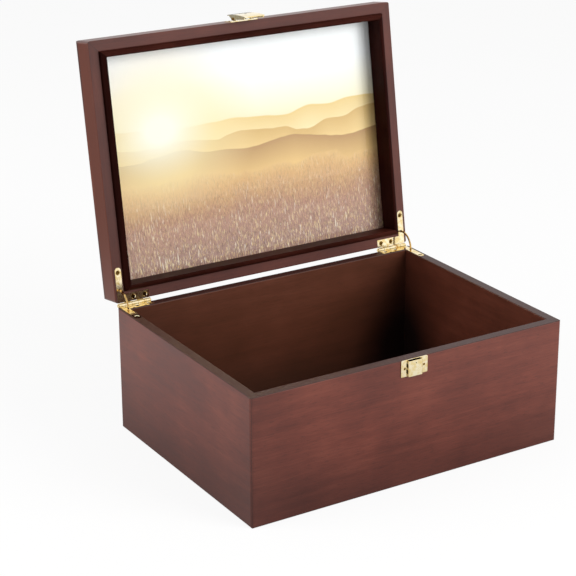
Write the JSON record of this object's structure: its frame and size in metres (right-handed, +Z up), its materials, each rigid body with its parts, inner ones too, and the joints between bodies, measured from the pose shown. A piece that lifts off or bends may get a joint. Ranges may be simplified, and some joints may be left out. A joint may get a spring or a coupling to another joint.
{
  "type": "keepsake box",
  "caption": "Rectangular wooden box with a lid on quadrant hinges with curved stays, a picture framed behind a clear pane inside the lid, and a sprung catch at the front.",
  "frame": {"origin": "middle of the body's footprint, on the surface it stands on", "axes": "+X along the front to the right, +Y from the front with the catch to the back with the hinges, +Z up"},
  "size_m": [0.3, 0.2868, 0.339],
  "materials": {
    "body_wood": "reddish-brown stain under satin lacquer",
    "panel_wood": "reddish-brown stain under satin lacquer",
    "lid_wood": "reddish-brown stain under satin lacquer",
    "lip_wood": "reddish-brown stain under satin lacquer",
    "clear_pane": "clear and polished",
    "print": "satin print",
    "backing": "plain board",
    "brass": "bright plated brass",
    "brass_pin": "bright plated brass",
    "brass_screw": "bright plated brass",
    "spring_steel": "drawn wire"
  },
  "bodies": {
    "body": {"body_front": "body_wood", "body_rear": "body_wood", "body_left": "body_wood", "body_right": "body_wood", "body_bottom": "panel_wood", "hinge_body_leaf_l": "brass", "hinge_body_leaf_r": "brass", "hinge_pin_l": "brass_pin", "hinge_pin_r": "brass_pin", "hinge_body_screws": "brass_screw", "catch_keeper": "brass", "keeper_nails": "brass_screw"},
    "lid": {"lid_front": "lid_wood", "lid_rear": "lid_wood", "lid_left": "lid_wood", "lid_right": "lid_wood", "lid_top": "panel_wood", "lip_front": "lip_wood", "lip_rear": "lip_wood", "lip_left": "lip_wood", "lip_right": "lip_wood", "pane": "clear_pane", "print": "print", "backing_board": "backing", "hinge_lid_leaf_l": "brass", "hinge_lid_leaf_r": "brass", "hinge_lid_screws": "brass_screw", "catch_base": "brass", "catch_nails": "brass_screw", "catch_pin": "brass_pin", "catch_spring": "spring_steel"},
    "left_stay": {"stay_l": "brass"},
    "right_stay": {"stay_r": "brass"},
    "flap": {"catch_flap": "brass"}
  },
  "joints": [
    {"name": "lid_hinge", "type": "hinge", "parent": "body", "child": "lid", "pos_m": [0, 0.1133, 0.11025], "axis": [1, 0, 0], "range_deg": [0, 99]},
    {"name": "left_stay_swing", "type": "hinge", "parent": "body", "child": "left_stay", "pos_m": [-0.14515, 0.1133, 0.11025], "axis": [1, 0, 0], "range_deg": [0, 49.5]},
    {"name": "right_stay_swing", "type": "hinge", "parent": "body", "child": "right_stay", "pos_m": [0.14515, 0.1133, 0.11025], "axis": [1, 0, 0], "range_deg": [0, 49.5]},
    {"name": "flap_hinge", "type": "hinge", "parent": "lid", "child": "flap", "pos_m": [0, 0.15299, 0.33369], "axis": [-1, 0, 0], "range_deg": [-2, 16], "stiffness_Nm_per_rad": 0.004, "springref_deg": -8.02}
  ],
  "couplings": [
    {"joint": "left_stay_swing", "follows": "lid_hinge", "ratio": 0.5},
    {"joint": "right_stay_swing", "follows": "lid_hinge", "ratio": 0.5}
  ]
}
